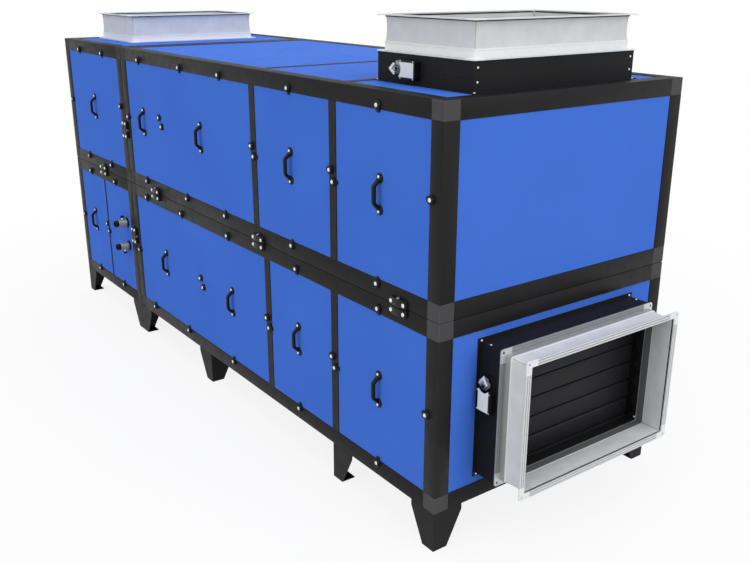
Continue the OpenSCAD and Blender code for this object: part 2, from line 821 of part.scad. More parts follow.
// Place over the near top panel: the damper's X axis points to the far end
module at_top(along) {
    translate([top_mid_x, mid_y, top_z - panel_inset + along]) mirror([1, 0, 0]) children();
}

module at_far(along) {
    translate([far_mid_x, mid_y, top_z - panel_inset + along]) children();
}

module end_damper_frame() { color(black) at_end(0) damper_frame(); }
module end_damper_actuator() { color(label_grey) at_end(0) damper_actuator(); }
module shaft_clamp() { color(galvanised) at_end(0) damper_shaft_clamp(-clamp_turn); }
module blade(i) { color(black) at_end(0) damper_blade(i, i == lead_blade); }
module top_damper_frame() { color(black) at_top(0) damper_frame(); }

module top_damper_blades() {
    color(black) at_top(0) for (i = [1:blade_count]) damper_blade(i, i == lead_blade);
}

module top_damper_actuator() {
    color(label_grey) at_top(0) {
        damper_actuator();
        damper_shaft_clamp(clamp_turn);
    }
}

module end_connector_flanges() {
    color(galvanised) at_end(damper_d) connector_flanges(end_connector_len);
}

module end_connector_sleeve() {
    color(fabric_grey) at_end(damper_d) connector_sleeve(end_connector_len);
}

module top_connector_flanges() {
    color(galvanised) at_top(damper_d) connector_flanges(top_connector_len);
}

module top_connector_sleeve() {
    color(fabric_grey) at_top(damper_d) connector_sleeve(top_connector_len);
}

module far_connector_flanges() {
    color(galvanised) at_far(0) connector_flanges(short_connector_len);
}

module far_connector_sleeve() {
    color(fabric_grey) at_far(0) connector_sleeve(short_connector_len);
}

frame_short_lower();
frame_short_upper();
frame_long_lower();
frame_long_upper();
corners_lower();
corners_upper();
posts_front_lower();
posts_front_upper();
posts_rear();
section_seal();
upper_left_door();
upper_wide_door();
upper_middle_door();
upper_right_door();
lower_left_door();
pipe_panel();
lower_wide_door();
lower_middle_door();
lower_right_door();
rear_panels_lower();
rear_panels_upper();
top_panel_far_outlet();
top_panels_plain();
top_panel_near_outlet();
floor_panels();
deck_ceiling();
deck_floor();
end_panel_upper();
end_panel_lower();
far_end_panels();
handles_upper();
handles_lower();
latches_upper();
latches_lower();
section_clamps();
feet_front();
feet_rear();
pipe_high();
pipe_low();
pipe_collars();
pipe_plugs();
end_damper_frame();
end_damper_actuator();
shaft_clamp();
blade(1);  // blade_1
blade(2);  // blade_2
blade(3);  // blade_3
blade(4);  // blade_4
blade(5);  // blade_5
blade(6);  // blade_6
end_connector_flanges();
end_connector_sleeve();
top_damper_frame();
top_damper_blades();
top_damper_actuator();
top_connector_flanges();
top_connector_sleeve();
far_connector_flanges();
far_connector_sleeve();
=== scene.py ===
import math

import bmesh
import bpy
import numpy as np
from mathutils import Matrix, Vector, noise
from mathutils.geometry import tessellate_polygon


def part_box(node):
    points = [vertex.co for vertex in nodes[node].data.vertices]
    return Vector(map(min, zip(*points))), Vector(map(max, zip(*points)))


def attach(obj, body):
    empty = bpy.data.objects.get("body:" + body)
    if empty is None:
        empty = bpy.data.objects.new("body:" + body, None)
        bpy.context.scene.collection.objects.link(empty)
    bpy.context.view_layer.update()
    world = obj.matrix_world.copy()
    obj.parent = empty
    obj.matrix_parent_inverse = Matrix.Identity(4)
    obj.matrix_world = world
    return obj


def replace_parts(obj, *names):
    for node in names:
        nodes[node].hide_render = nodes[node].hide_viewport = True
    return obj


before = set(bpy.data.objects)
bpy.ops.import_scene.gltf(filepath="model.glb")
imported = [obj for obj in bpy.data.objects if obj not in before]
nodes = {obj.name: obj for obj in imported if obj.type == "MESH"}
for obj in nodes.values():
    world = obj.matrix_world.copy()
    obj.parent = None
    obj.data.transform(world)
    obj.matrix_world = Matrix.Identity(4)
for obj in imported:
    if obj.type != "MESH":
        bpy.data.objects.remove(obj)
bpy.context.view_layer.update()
scene = bpy.context.scene
mm = 0.001
X, Y, Z = Vector((1, 0, 0)), Vector((0, 1, 0)), Vector((0, 0, 1))

# Sizes that several pieces share, in mm
profile_w = 58.0
blade_count = 6
blade_pitch = 70.0
lead_blade = 5
pivot_depth = 47.0


def blade_place(i):
    """How far a blade's pivot lies from the damper's middle, counting from 1."""
    return (i - (blade_count + 1) / 2) * blade_pitch


# Materials: colour, roughness and bump built up from noise in object space
class Graph:
    """A node tree that starts empty."""
    def __init__(self, tree):
        self.tree = tree
        self.tree.nodes.clear()

    def add(self, kind, **settings):
        node = self.tree.nodes.new(kind)
        for key, value in settings.items():
            setattr(node, key, value)
        return node

    def link(self, source, target):
        self.tree.links.new(source, target)

    def combine(self, operation, *values):
        """A maths node over sockets and plain numbers."""
        node = self.add("ShaderNodeMath", operation=operation)
        for socket, value in zip(node.inputs, values):
            if isinstance(value, float):
                socket.default_value = value
            else:
                self.link(value, socket)
        return node.outputs[0]


class Finish(Graph):
    """A material whose colour, gloss and relief are laid on one after another."""
    def __init__(self, name, metallic=0.0, specular=0.5, coords="Object"):
        self.made = bpy.data.materials.new(name)
        self.made.use_nodes = True
        super().__init__(self.made.node_tree)
        self.out = self.add("ShaderNodeOutputMaterial")
        self.shader = self.add("ShaderNodeBsdfPrincipled")
        self.link(self.shader.outputs["BSDF"], self.out.inputs["Surface"])
        self.shader.inputs["Metallic"].default_value = metallic
        self.shader.inputs["Specular IOR Level"].default_value = specular
        self.place = self.add("ShaderNodeTexCoord").outputs[coords]
        self.colour = None
        self.normal = None

    def noise(self, scale, detail=3.0):
        node = self.add("ShaderNodeTexNoise")
        node.inputs["Scale"].default_value = scale
        node.inputs["Detail"].default_value = detail
        self.link(self.place, node.inputs["Vector"])
        return node.outputs["Fac"]

    def threads(self, period, across):
        """Bands with a period in metres; at a scale of 1 they repeat every pi / 10."""
        node = self.add("ShaderNodeTexWave", wave_type="BANDS", bands_direction=across)
        node.inputs["Scale"].default_value = math.pi / 10 / period
        self.link(self.place, node.inputs["Vector"])
        return node.outputs["Fac"]

    def along(self, axis):
        node = self.add("ShaderNodeSeparateXYZ")
        self.link(self.place, node.inputs["Vector"])
        return node.outputs[axis]

    def distance(self, centre, counted):
        """How far a point lies from a centre, along the axes that are counted with a 1."""
        away = self.add("ShaderNodeVectorMath", operation="SUBTRACT")
        away.inputs[1].default_value = centre
        self.link(self.place, away.inputs[0])
        flat = self.add("ShaderNodeVectorMath", operation="MULTIPLY")
        flat.inputs[1].default_value = counted
        self.link(away.outputs["Vector"], flat.inputs[0])
        size = self.add("ShaderNodeVectorMath", operation="LENGTH")
        self.link(flat.outputs["Vector"], size.inputs[0])
        return size.outputs["Value"]

    def spread(self, source, low, high, start=0.3, end=0.7):
        node = self.add("ShaderNodeMapRange")
        for key, value in (("From Min", start), ("From Max", end), ("To Min", low), ("To Max", high)):
            node.inputs[key].default_value = value
        self.link(source, node.inputs["Value"])
        return node.outputs["Result"]

    def tint(self, source, dark, light, start=0.3, end=0.7):
        """Go from one colour to another with the source; None stands for the colour so far."""
        node = self.add("ShaderNodeMix", data_type="RGBA")
        # The node has a set of sockets for each kind of data; these are the ones for colour
        first, second, result = node.inputs[6], node.inputs[7], node.outputs[2]
        self.link(self.spread(source, 0.0, 1.0, start, end), node.inputs["Factor"])
        for socket, colour in ((first, dark), (second, light)):
            if colour is None:
                self.link(self.colour, socket)
            else:
                socket.default_value = (*colour, 1.0)
        self.colour = result
        self.link(self.colour, self.shader.inputs["Base Color"])

    def rough(self, source, low, high):
        self.link(self.spread(source, low, high), self.shader.inputs["Roughness"])

    def bump(self, source, depth):
        node = self.add("ShaderNodeBump")
        node.inputs["Distance"].default_value = depth
        self.link(source, node.inputs["Height"])
        if self.normal:
            self.link(self.normal, node.inputs["Normal"])
        self.normal = node.outputs["Normal"]
        self.link(self.normal, self.shader.inputs["Normal"])


def painted(name, dark, light, rough, specular, peel=320.0, depth=0.02, wave=0.0):
    """Coated sheet or moulding: slow colour drift, cloudy gloss, a fine peel and, on sheet, a slow wave."""
    f = Finish(name, specular=specular)
    f.tint(f.noise(2.6, 4.0), dark, light)
    f.rough(f.noise(24.0, 4.0), *rough)
    if wave:
        f.bump(f.noise(3.2, 1.0), wave * mm)
    f.bump(f.noise(peel, 2.0), depth * mm)
    return f


def metal(name, dark, light, rough, metallic):
    """Bare metal: a drift in colour and gloss, and a fine grain."""
    f = Finish(name, metallic=metallic)
    f.tint(f.noise(60.0, 4.0), dark, light, 0.1, 0.9)
    f.rough(f.noise(45.0, 4.0), *rough)
    f.bump(f.noise(900.0, 2.0), 0.01 * mm)
    return f


def cloth(name, dark, light):
    """Coated duct cloth: a plain weave under a satin skin, with soft creases in the colour."""
    thread = 1.6 * mm
    f = Finish(name, specular=0.35, coords="UV")
    f.shader.inputs["Sheen Weight"].default_value = 0.08
    f.tint(f.noise(14.0, 4.0), dark, light)
    f.rough(f.noise(40.0, 3.0), 0.52, 0.68)
    f.bump(f.noise(30.0, 3.0), 0.5 * mm)
    for across in ("X", "Y"):
        f.bump(f.threads(thread, across), 0.06 * mm)
    return f


def black_moulding(name):
    return painted(name, (0.006, 0.006, 0.0065), (0.010, 0.010, 0.0105), (0.30, 0.40), 0.16,
                   peel=800.0, depth=0.015)


panel_blue = painted("panel_blue", (0.061, 0.180, 0.715), (0.068, 0.196, 0.765), (0.48, 0.60), 0.01,
                     wave=0.25)
# The edge finishes are lighter than the faces they border: wear, and painted highlight along the eased edges
panel_edge_wear_highlight = painted("panel_edge_wear_highlight", (0.080, 0.22, 0.78), (0.11, 0.26, 0.84), (0.42, 0.52), 0.05)
frame_black = painted("frame_black", (0.0125, 0.0115, 0.0125), (0.018, 0.0165, 0.0175), (0.42, 0.54),
                      0.12)
frame_edge_wear_highlight = painted("frame_edge_wear_highlight", (0.016, 0.0148, 0.015), (0.024, 0.022, 0.022), (0.4, 0.5), 0.12)
corner_grey = painted("corner_grey", (0.058, 0.058, 0.061), (0.074, 0.074, 0.077), (0.46, 0.58), 0.15,
                      peel=700.0, depth=0.05)
corner_edge_wear_highlight = painted("corner_edge_wear_highlight", (0.072, 0.072, 0.075), (0.090, 0.090, 0.093), (0.45, 0.55), 0.15)
rubber = painted("seal_rubber", (0.010, 0.010, 0.011), (0.016, 0.016, 0.017), (0.7, 0.85), 0.15,
                 peel=900.0, depth=0.05)
moulded = black_moulding("moulded_black")
damper_black = painted("damper_black", (0.0115, 0.0108, 0.0118), (0.0165, 0.0152, 0.0168), (0.42, 0.55),
                       0.1)
blade_black = painted("blade_black", (0.011, 0.0098, 0.012), (0.016, 0.0145, 0.017), (0.34, 0.44), 0.15,
                      peel=500.0)
label_white = painted("label_white", (0.87, 0.87, 0.83), (0.92, 0.92, 0.88), (0.42, 0.52), 0.2,
                      peel=1100.0, depth=0.01)
cast_black = painted("cast_black", (0.008, 0.008, 0.009), (0.012, 0.012, 0.013), (0.32, 0.42), 0.18,
                     peel=600.0, depth=0.03)
inner_grey = painted("inner_grey", (0.125, 0.128, 0.131), (0.15, 0.153, 0.156), (0.45, 0.58), 0.2)
pipe_grey = metal("pipe_metal", (0.20, 0.205, 0.215), (0.30, 0.305, 0.315), (0.34, 0.48), 0.7)
thread_grey = metal("thread_metal", (0.46, 0.47, 0.48), (0.60, 0.61, 0.62), (0.26, 0.38), 0.9)
# Near-white metal heads: bright metal, and painted highlight standing in for the glints on the domes
bright_metal_and_glint = metal("bright_metal_and_glint", (0.88, 0.88, 0.89), (0.96, 0.96, 0.96), (0.28, 0.38), 0.35)
clamp_zinc = metal("clamp_zinc", (0.34, 0.345, 0.35), (0.46, 0.465, 0.47), (0.32, 0.44), 0.5)
dull_steel = metal("dull_steel", (0.22, 0.22, 0.23), (0.32, 0.32, 0.33), (0.38, 0.5), 0.8)
galvanised = metal("galvanised", (0.66, 0.675, 0.69), (0.73, 0.745, 0.76), (0.36, 0.50), 0.5)
# A darker copy of the zinc, for painted shade
zinc_in_painted_shade = metal("zinc_in_painted_shade", (0.33, 0.34, 0.345), (0.40, 0.41, 0.415), (0.4, 0.52), 0.4)
bright_plate = metal("bright_plate", (0.85, 0.86, 0.87), (0.91, 0.92, 0.93), (0.36, 0.48), 0.12)
sleeve_cloth = cloth("sleeve_fabric", (0.68, 0.695, 0.705), (0.77, 0.785, 0.795))
# A darker copy of the cloth, for painted shade in the corner folds
fold_shade_cloth = cloth("fold_shade_fabric", (0.40, 0.41, 0.43), (0.48, 0.49, 0.51))

# Corner pieces are grey only at the damper end, and the level top of the frame is darker: painted shade on
# the top face
grey_from, grey_to = 1.30, 1.31
top_shade_from, top_shade_to = 1.4534, 1.4538
for finish in (corner_grey, corner_edge_wear_highlight):
    finish.tint(finish.along("X"), (0.019, 0.0178, 0.0182), None, grey_from, grey_to)
# Painted shade: the top faces of the frames and corner pieces are darkened
for finish in (frame_black, frame_edge_wear_highlight, corner_grey, corner_edge_wear_highlight):
    finish.tint(finish.along("Z"), None, (0.0085, 0.008, 0.0088), top_shade_from, top_shade_to)


# Finishes on the CAD nodes, some with a small radius on their edges, plain or in a lighter edge finish that
# is wear and painted highlight
def dress(names, finish, wear_and_highlight=None, radius=0.0, segments=2):
    for name in names:
        obj = nodes[name]
        obj.data.materials.clear()
        obj.data.materials.append(finish.made)
        if wear_and_highlight:
            obj.data.materials.append(wear_and_highlight.made)
        if radius:
            weld = obj.modifiers.new("Weld", "WELD")
            weld.merge_threshold = 1e-5
            bevel = obj.modifiers.new("Bevel", "BEVEL")
            bevel.width = radius * mm
            bevel.segments = segments
            bevel.limit_method = "ANGLE"
            bevel.angle_limit = math.radians(35)
            bevel.material = 1 if wear_and_highlight else -1
            obj.modifiers.new("Normals", "WEIGHTED_NORMAL").keep_sharp = True


doors = ["upper_left_door", "upper_wide_door", "upper_middle_door", "upper_right_door",
         "lower_left_door", "pipe_panel", "lower_wide_door", "lower_middle_door", "lower_right_door"]
other_panels = ["rear_panels_lower", "rear_panels_upper", "top_panel_far_outlet", "top_panels_plain",
                "top_panel_near_outlet", "floor_panels", "deck_ceiling", "deck_floor",
                "end_panel_upper", "end_panel_lower", "far_end_panels"]
frames = ["frame_short_lower", "frame_short_upper", "frame_long_lower", "frame_long_upper"]
dress(doors + other_panels, panel_blue, panel_edge_wear_highlight, 1.6)
dress(frames, frame_black)
dress(["posts_front_lower", "posts_front_upper", "posts_rear"], frame_black, frame_edge_wear_highlight, 1.5)
dress(["corners_lower", "corners_upper"], corner_grey, corner_edge_wear_highlight, 1.8)
dress(["section_seal"], rubber)
dress(["feet_front", "feet_rear"], frame_black, frame_edge_wear_highlight, 1.0)
dress(["handles_upper", "handles_lower", "latches_upper", "latches_lower", "section_clamps",
       "pipe_plugs"], moulded)
dress(["pipe_collars"], moulded, None, 1.2)
dress(["pipe_high", "pipe_low"], pipe_grey)
dress(["end_damper_frame", "top_damper_frame"], damper_black)
dress(["top_damper_blades"] + [f"blade_{i}" for i in range(1, blade_count + 1)], blade_black)
dress(["end_damper_actuator"], moulded, None, 1.5, 3)
dress(["shaft_clamp"], clamp_zinc)
dress(["end_connector_flanges", "top_connector_flanges", "far_connector_flanges"], galvanised)
dress(["end_connector_sleeve", "top_connector_sleeve", "far_connector_sleeve"], sleeve_cloth)


# Mesh building
class Shape:
    """Bits of mesh put together as one piece, each bit with its own finish."""
    def __init__(self):
        self.bm = bmesh.new()

    def put(self, bit, at=Matrix(), finish=0):
        points, faces, marks = bit if len(bit) == 3 else (*bit, [0] * len(bit[1]))
        verts = [self.bm.verts.new(at @ Vector(p)) for p in points]
        for f, mark in zip(faces, marks):
            face = self.bm.faces.new([verts[i] for i in f])
            face.material_index = finish + mark
            face.smooth = True

    def done(self, name, finishes, body="unit"):
        mesh = bpy.data.meshes.new(name)
        bmesh.ops.recalc_face_normals(self.bm, faces=self.bm.faces[:])
        self.bm.to_mesh(mesh)
        self.bm.free()
        for f in finishes:
            mesh.materials.append(f.made)
        mesh.set_sharp_from_angle(angle=math.radians(40))
        obj = bpy.data.objects.new(name, mesh)
        scene.collection.objects.link(obj)
        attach(obj, body)
        return obj


def taken(bm):
    """A bit's points, faces and finish marks, read from a bmesh that is then freed."""
    bm.verts.index_update()
    bit = ([v.co[:] for v in bm.verts], [[v.index for v in f.verts] for f in bm.faces],
           [f.material_index for f in bm.faces])
    bm.free()
    return bit


def lathe(profile, n=28, hollow=False):
    """A turned form about Z from (radius, height) pairs in mm; a hollow one runs back to its start."""
    profile = profile + profile[:1] if hollow else profile
    points, rings, faces = [], [], []
    for r, z in profile:
        start = len(points)
        count = n if r > 0 else 1
        points += [(r * mm * math.cos(2 * math.pi * i / n), r * mm * math.sin(2 * math.pi * i / n), z * mm)
                   for i in range(count)]
        rings.append([start + i % count for i in range(n + 1)])
    for a, b in zip(rings, rings[1:]):
        for i in range(n):
            corners = dict.fromkeys((a[i], a[i + 1], b[i + 1], b[i]))
            if len(corners) > 2:
                faces.append(list(corners))
    if profile[0][0] > 0 and not hollow:
        faces.append(rings[0][:n])
    if profile[-1][0] > 0 and not hollow:
        faces.append(rings[-1][:n])
    return points, faces


def rounded(corners, radius, steps=5):
    """A closed outline in mm with its corners turned to a radius, one for all or one each."""
    out = []
    for i, corner in enumerate(corners):
        r = radius[i] if isinstance(radius, list) else radius
        p = Vector(corner)
        a = (Vector(corners[i - 1]) - p).normalized()
        b = (Vector(corners[(i + 1) % len(corners)]) - p).normalized()
        if r <= 0:
            out.append(tuple(p))
            continue
        half = a.angle(b) / 2
        centre = p + (a + b).normalized() * (r / math.sin(half))
        start, end = (p + side * (r / math.tan(half)) - centre for side in (a, b))
        first = math.atan2(start.y, start.x)
        turn = (math.atan2(end.y, end.x) - first + math.pi) % (2 * math.pi) - math.pi
        out += [(centre.x + r * math.cos(first + turn * k / steps),
                 centre.y + r * math.sin(first + turn * k / steps)) for k in range(steps + 1)]
    return out


def plate(outline, low, high, bevel=0.0):
    """An outline in mm raised from low to high, its upper edge eased."""
    bm = bmesh.new()
    base = [bm.verts.new((x * mm, y * mm, low * mm)) for x, y in outline]
    top = [bm.verts.new((x * mm, y * mm, high * mm)) for x, y in outline]
    bm.faces.new(base[::-1])
    lid = bm.faces.new(top)
    for i in range(len(base)):
        bm.faces.new((base[i - 1], base[i], top[i], top[i - 1]))
    if bevel:
        bmesh.ops.bevel(bm, geom=list(lid.edges), offset=bevel * mm, segments=2, profile=0.5,
                        affect="EDGES", clamp_overlap=True)
    return taken(bm)


def bar(low, high, radius):
    """A bar between two corners in metres, its eased edges marked for the lighter edge finish: wear and
    painted highlight.
    """
    bm = bmesh.new()
    bmesh.ops.create_cube(bm, size=1.0)
    bmesh.ops.scale(bm, vec=high - low, verts=bm.verts)
    bmesh.ops.translate(bm, vec=(low + high) / 2, verts=bm.verts)
    bmesh.ops.bevel(bm, geom=bm.edges[:], offset=radius * mm, segments=2, profile=0.5, affect="EDGES",
                    material=1)
    return taken(bm)


def punched(outline, holes, low, high):
    """A flat plate in mm with holes through it."""
    loops = [outline] + holes
    cover = tessellate_polygon([[Vector((x, y, 0)) for x, y in loop] for loop in loops])
    flat = [p for loop in loops for p in loop]
    n = len(flat)
    points = [(x * mm, y * mm, z * mm) for z in (low, high) for x, y in flat]
    faces = [list(t) for t in cover] + [[i + n for i in t] for t in cover]
    start = 0
    for loop in loops:
        count = len(loop)
        for i in range(count):
            a, b = start + i, start + (i + 1) % count
            faces.append([a, b, b + n, a + n])
        start += count
    return points, faces


def loft(rings, closed=False):
    """Rings of points in metres, each joined to the next; an open row is capped at its ends."""
    n, last = len(rings[0]), len(rings) - (0 if closed else 1)
    points = [tuple(p) for ring in rings for p in ring]
    faces = []
    for k in range(last):
        a, b = k * n, (k + 1) % len(rings) * n
        faces += [[a + i, a + (i + 1) % n, b + (i + 1) % n, b + i] for i in range(n)]
    if not closed:
        faces += [list(range(n)), [last * n + i for i in range(n)]]
    return points, faces


def swept(path, section, closed=False):
    """A section in mm carried along frames of (centre, across, normal)."""
    return loft([[centre + across * (a * mm) + normal * (b * mm) for a, b in section]
                 for centre, across, normal in path], closed)


def looped(mid, u_way, v_way, flow, u, v, corner, section):
    """A section carried round a rectangle: its first size runs along flow, its second outwards."""
    loop = rounded([(-u, -v), (u, -v), (u, v), (-u, v)], corner, 5)
    path = []
    for i, (a, b) in enumerate(loop):
        c, d = loop[(i + 1) % len(loop)]
        e, f = loop[i - 1]
        along = Vector((c - e, d - f)).normalized()
        path.append((mid + u_way * (a * mm) + v_way * (b * mm), flow, u_way * along.y - v_way * along.x))
    return swept(path, section, True)


def axes(x, y, z, at):
    """A placing matrix whose columns are the world directions of a bit's own axes."""
    return Matrix.Translation(at) @ Matrix((x, y, z)).transposed().to_4x4()


def islands(node):
    """The separate solids of a CAD node, each as an array of points in metres."""
    bm = bmesh.new()
    bm.from_mesh(nodes[node].data)
    bmesh.ops.remove_doubles(bm, verts=bm.verts, dist=1e-6)
    found, seen = [], set()
    for start in bm.verts:
        if start in seen:
            continue
        seen.add(start)
        queue, group = [start], []
        while queue:
            v = queue.pop()
            group.append(v.co[:])
            for e in v.link_edges:
                w = e.other_vert(v)
                if w not in seen:
                    seen.add(w)
                    queue.append(w)
        found.append(np.array(group))
    bm.free()
    return found


def domed_screw(r, h):
    """A domed head with a socket in it."""
    return lathe([(r, -1.0), (r, h * 0.35), (r * 0.94, h * 0.6), (r * 0.78, h * 0.84), (r * 0.5, h),
                  (r * 0.42, h * 0.97), (r * 0.38, h * 0.45), (0, h * 0.4)], 24)


def hexagon(flats, low, high):
    """A nut's form, by its width over the flats."""
    r = flats / math.sqrt(3)
    outline = [(r * math.cos(math.radians(60 * i)), r * math.sin(math.radians(60 * i))) for i in range(6)]
    return plate(outline, low, high, flats * 0.06)


# Turn latches: a cup with a screw sunk in it, and a tab over the panel
latch_cup = [(15, 0), (15, 4.2), (14.8, 5.6), (14.2, 7.6), (13.3, 9.4), (12.2, 10.8), (11.2, 11.6),
             (10.2, 11.8), (9.0, 11.4), (8.2, 10.4), (7.9, 7.0), (0, 7.0)]
latch_screw = [(7.2, 6.8), (7.2, 9.4), (6.7, 10.6), (5.6, 11.5), (4.0, 11.9), (2.9, 11.9), (2.6, 10.0),
               (0, 9.9)]
tab_half, tab_t, tab_over = 8.5, 5.0, 1.5
least_tab = 17


def turn_latch(shape, points):
    """The tab points to the side on which the CAD latch reaches furthest from its crown."""
    low, high = points.min(0), points.max(0)
    crown = points[points[:, 1] < low[1] + 0.05 * mm]
    centre = Vector((crown[:, 0].mean(), high[1], crown[:, 2].mean()))
    reach = {(1, 0, 0): high[0] - centre.x, (-1, 0, 0): centre.x - low[0],
             (0, 0, 1): high[2] - centre.z, (0, 0, -1): centre.z - low[2]}
    way, far = max(reach.items(), key=lambda item: item[1])
    tab = Vector(way)
    at = axes(tab.cross(-Y), tab, -Y, centre)
    shape.put(lathe(latch_cup, 36), at)
    shape.put(lathe(latch_screw, 28), at, 1)
    if far > least_tab * mm:
        edge = far / mm + tab_over
        outline = rounded([(-tab_half, 0), (tab_half, 0), (tab_half, edge), (-tab_half, edge)],
                          [0, 0, 5.0, 5.0])
        shape.put(plate(outline, 0, tab_t, 1.2), at)


for deck in ("upper", "lower"):
    shape = Shape()
    for points in islands(f"latches_{deck}"):
        turn_latch(shape, points)
    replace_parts(shape.done(f"turn_latches_{deck}", [cast_black, bright_metal_and_glint]),
                f"latches_{deck}")


# Bow handles: a flattened bow on two round feet, one screw in each foot
bend_r, bend_steps = 14.0, 10
bow_y, bow_z = 10.6, 21.0
slope = math.radians(48)
leg_end = 2.0
foot_z, foot_h = 50.5, 6.4
handle_screw_z = 55.5
foot_profile = [(16.5, 0), (16.5, 2.6), (16.1, 3.8), (15.0, 4.9), (13.0, 5.8), (10, foot_h), (0, foot_h)]
bow_section = rounded([(-7.4, -6.4), (7.4, -6.4), (7.4, 6.4), (-7.4, 6.4)], 5.4, 5)


def bow_path():
    """Rows of (height, distance out, slope) from one leg's end over the bow to the other's."""
    half = []
    for k in range(bend_steps + 1):
        a = slope * k / bend_steps
        half.append((bow_z + bend_r * math.sin(a), bow_y + bend_r * math.cos(a), a))
    z, out, a = half[-1]
    for share in (0.25, 0.5, 0.75, 1.0):
        drop = (out - leg_end) * share
        half.append((z + drop / math.tan(slope), out - drop, a))
    return [(-z, out, -a) for z, out, a in half[::-1]] + half


for deck in ("upper", "lower"):
    shape = Shape()
    for points in islands(f"handles_{deck}"):
        low, high = points.min(0), points.max(0)
        centre = Vector(((low[0] + high[0]) / 2, high[1], (low[2] + high[2]) / 2))
        path = []
        for z, out, a in bow_path():
            normal = -Y * math.cos(a) + Z * math.sin(a)
            path.append((centre + Z * (z * mm) - Y * (out * mm), X, normal))
        shape.put(swept(path, bow_section))
        for side in (-1, 1):
            at = axes(X, Z, -Y, centre + Z * (side * foot_z * mm))
            shape.put(lathe(foot_profile, 40), at)
            at = axes(X, Z, -Y, centre + Z * (side * handle_screw_z * mm) - Y * (foot_h * mm))
            shape.put(domed_screw(5.0, 3.0), at, 1)
    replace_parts(shape.done(f"bow_handles_{deck}", [moulded, bright_metal_and_glint]),
                f"handles_{deck}")


# Section clamps: two crowned halves drawn together by a bolt, each held by two domed bolts
clamp_half_len, clamp_reach, clamp_split = 42.0, 29.0, 1.7
clamp_end_r, clamp_edge_t, clamp_crown = 9.0, 9.0, 7.0
clamp_step, clamp_steps = 2.0, 21
clamp_bolt_at = (31, 15, 11.6)
least_half = 60


def clamp_half(shape, at):
    rings = []
    for k in range(-clamp_steps, clamp_steps + 1):
        x = k * clamp_step
        top = clamp_edge_t + clamp_crown * (1 - (x / clamp_half_len) ** 2)
        past = max(0.0, abs(x) - (clamp_half_len - clamp_end_r))
        far = clamp_reach - clamp_end_r + math.sqrt(max(0.0, clamp_end_r ** 2 - past * past))
        section = rounded([(clamp_split, 0), (far, 0), (far, top), (clamp_split, top)],
                          [0, 0, 2.4, 1.8], 4)
        rings.append([(x * mm, y * mm, z * mm) for y, z in section])
    shape.put(loft(rings), at)
    along, out, up = clamp_bolt_at
    for side in (-1, 1):
        spot = at @ Matrix.Translation((side * along * mm, out * mm, up * mm))
        shape.put(lathe([(9.0, -1), (9.0, 1.2), (8.5, 1.7), (0, 1.7)], 28), spot)
        shape.put(domed_screw(6.8, 3.2), spot @ Matrix.Translation((0, 0, 1.6 * mm)), 1)


# The node's smaller solids are bolts; its halves go in pairs by the place of their joint
found = {}
for points in islands("section_clamps"):
    low, high = points.min(0), points.max(0)
    size = high - low
    if max(size[0], size[2]) < least_half * mm:
        continue
    lying = bool(size[0] > size[2])
    along = 0 if lying else 2
    found.setdefault((lying, round((low[along] + high[along]) / 2, 3)), []).append((low, high))
shape = Shape()
for (lying, place), halves in sorted(found.items()):
    row = 2 if lying else 0
    joint = (min(h[row] for _, h in halves) + max(l[row] for l, _ in halves)) / 2
    back = max(h[1] for _, h in halves)
    spot = Vector((place, back, joint)) if lying else Vector((joint, back, place))
    at = axes(X, Z, -Y, spot) if lying else axes(-Z, X, -Y, spot)
    clamp_half(shape, at)
    clamp_half(shape, at @ Matrix.Rotation(math.radians(180), 4, "Z"))
    bolt = at @ Matrix.Translation((0, 0, 8 * mm)) @ Matrix.Rotation(math.radians(-90), 4, "X")
    shape.put(lathe([(6.5, 28.5), (6.5, 32.2), (6.0, 33), (3.2, 33), (3.0, 31.2), (0, 31.2)], 28), bolt, 2)
    shape.put(lathe([(3.0, -3), (3.0, 3)], 16), bolt, 2)
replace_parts(shape.done("section_clamp_sets", [cast_black, bright_metal_and_glint, dull_steel]),
            "section_clamps")


# Cloth sleeves: a rounded rectangle of cloth, drawn in at its waist, puckered at the corners, with darker
# strips there that are painted shade in the folds
duct_ways = {0: (X, Y, Z), 2: (Z, X, Y)}
cloth_in, cloth_corner, cloth_t = 1.0 * mm, 9 * mm, 0.9 * mm
corner_steps, fold_shade_steps = 6, (2, 3)
stitch, row_h, least_rows = 6.5 * mm, 4.5 * mm, 14
pucker_w, swell_at, swell_w = 20 * mm, 42 * mm, 15 * mm
waist, pucker, swell = 2.0, 2.4, 1.2
wave_depth, fine_depth, slack_depth = 1.3, 0.9, 1.6
wave_rate, fine_rate, slack_rate = 14, 46, 9


